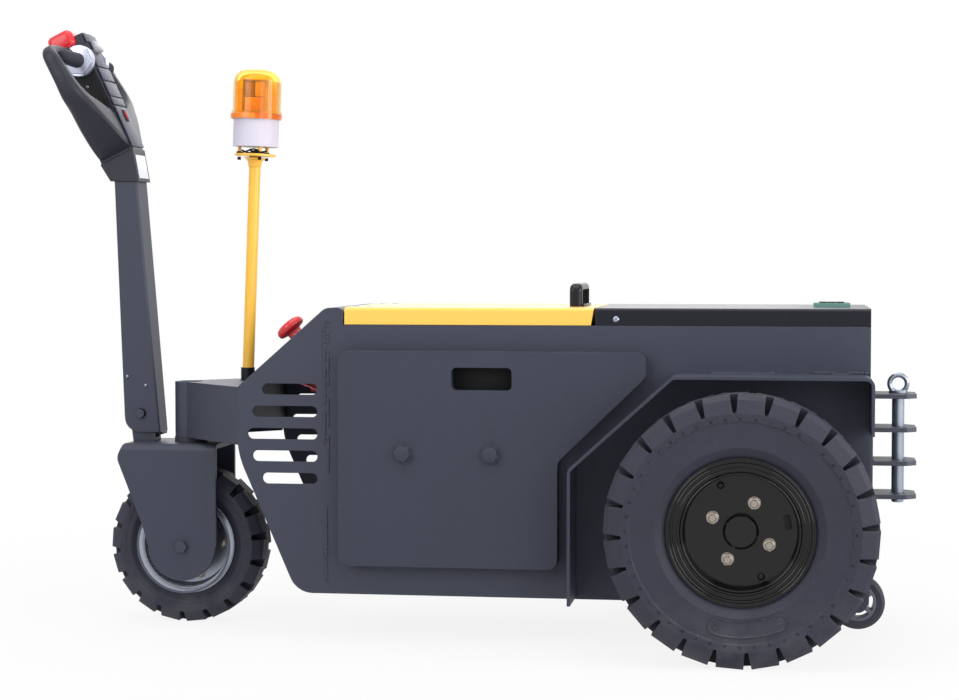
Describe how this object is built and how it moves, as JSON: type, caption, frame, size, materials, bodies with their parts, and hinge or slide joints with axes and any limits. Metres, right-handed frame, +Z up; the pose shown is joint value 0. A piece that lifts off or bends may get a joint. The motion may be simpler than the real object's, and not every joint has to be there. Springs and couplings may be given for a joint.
{
  "type": "electric tow tractor",
  "caption": "Pedestrian tow tractor with a tilting, steering tiller, battery box, stepped pin hitch and amber beacon.",
  "frame": {"origin": "on the floor, under the middle of the whole machine", "axes": "+X forward to the tiller, +Y to the left side, +Z up"},
  "size_m": [1.4494, 0.68, 1.0079],
  "materials": {
    "body_paint": "textured anthracite powder coat",
    "fork_paint": "anthracite paint, scuffed",
    "ballast_paint": "textured anthracite paint on thick plate",
    "cover_yellow": "satin yellow paint",
    "cover_black": "semi-gloss black",
    "grip_black": "moulded black plastic",
    "tyre_rubber": "solid rubber tyre",
    "rim_black": "gloss black",
    "rim_silver": "silver paint",
    "zinc": "bright zinc plate",
    "axle_grey": "painted casting",
    "pole_yellow": "satin yellow paint",
    "beacon_white": "white moulded plastic",
    "beacon_amber": "amber clear plastic",
    "stop_red": "red moulded plastic",
    "throttle_silver": "silver and black plastic",
    "gauge_green": "green instrument window",
    "battery_grey": "battery case"
  },
  "bodies": {
    "chassis": {"side_plate_left": "body_paint", "side_plate_right": "body_paint", "floor_plate": "body_paint", "nose_panel": "body_paint", "bulkhead": "body_paint", "rear_plate": "body_paint", "steering_neck": "body_paint", "drive_axle": "axle_grey", "drive_motor": "axle_grey", "rear_cover": "cover_black", "charge_gauge": "gauge_green", "battery": "battery_grey", "ballast_plate_left": "ballast_paint", "ballast_plate_right": "ballast_paint", "fender_left": "body_paint", "fender_right": "body_paint", "hitch": "body_paint", "support_bracket": "body_paint", "beacon_socket": "cover_black", "beacon_pole": "pole_yellow", "beacon_mount": "zinc", "beacon_base": "beacon_white", "beacon_lens": "beacon_amber", "emergency_stop": "stop_red"},
    "steering": {"fork": "fork_paint", "kingpin": "zinc", "front_axle": "zinc", "tiller_bracket": "fork_paint", "tiller_pivot_bolt": "zinc"},
    "front_wheel": {"front_tyre": "tyre_rubber", "front_rim": "rim_silver"},
    "tiller": {"tiller_arm": "fork_paint", "tiller_collar": "grip_black", "tiller_head": "grip_black", "belly_button": "stop_red", "grip_loop_left": "grip_black", "grip_loop_right": "grip_black", "throttle_left": "throttle_silver", "throttle_right": "throttle_silver"},
    "rear_wheel_left": {"rear_tyre_left": "tyre_rubber", "rear_rim_left": "rim_black"},
    "rear_wheel_right": {"rear_tyre_right": "tyre_rubber", "rear_rim_right": "rim_black"},
    "support_wheel": {"support_tyre": "tyre_rubber", "support_hub": "rim_silver"},
    "battery_lid": {"battery_cover": "cover_yellow", "cover_handle": "grip_black"},
    "pin": {"hitch_pin": "zinc"}
  },
  "joints": [
    {"name": "steer", "type": "hinge", "parent": "chassis", "child": "steering", "pos_m": [0.484, 0, 0.355], "axis": [0, 0, 1], "range_deg": [-50, 50]},
    {"name": "front_wheel_spin", "type": "hinge", "parent": "steering", "child": "front_wheel", "pos_m": [0.484, 0, 0.133], "axis": [0, 1, 0], "continuous": true},
    {"name": "tiller_tilt", "type": "hinge", "parent": "steering", "child": "tiller", "pos_m": [0.565, 0, 0.3535], "axis": [0, 1, 0], "range_deg": [0, 75]},
    {"name": "rear_wheel_left_spin", "type": "hinge", "parent": "chassis", "child": "rear_wheel_left", "pos_m": [-0.456, 0.285, 0.207], "axis": [0, 1, 0], "continuous": true},
    {"name": "rear_wheel_right_spin", "type": "hinge", "parent": "chassis", "child": "rear_wheel_right", "pos_m": [-0.456, -0.285, 0.207], "axis": [0, 1, 0], "continuous": true},
    {"name": "support_wheel_spin", "type": "hinge", "parent": "chassis", "child": "support_wheel", "pos_m": [-0.639, 0, 0.056], "axis": [0, 1, 0], "continuous": true},
    {"name": "battery_lid_hinge", "type": "hinge", "parent": "chassis", "child": "battery_lid", "pos_m": [0.183, 0, 0.5385], "axis": [0, 1, 0], "range_deg": [0, 85]},
    {"name": "hitch_pin_lift", "type": "slide", "parent": "chassis", "child": "pin", "axis": [0, 0, 1], "range_m": [0, 0.185]}
  ]
}
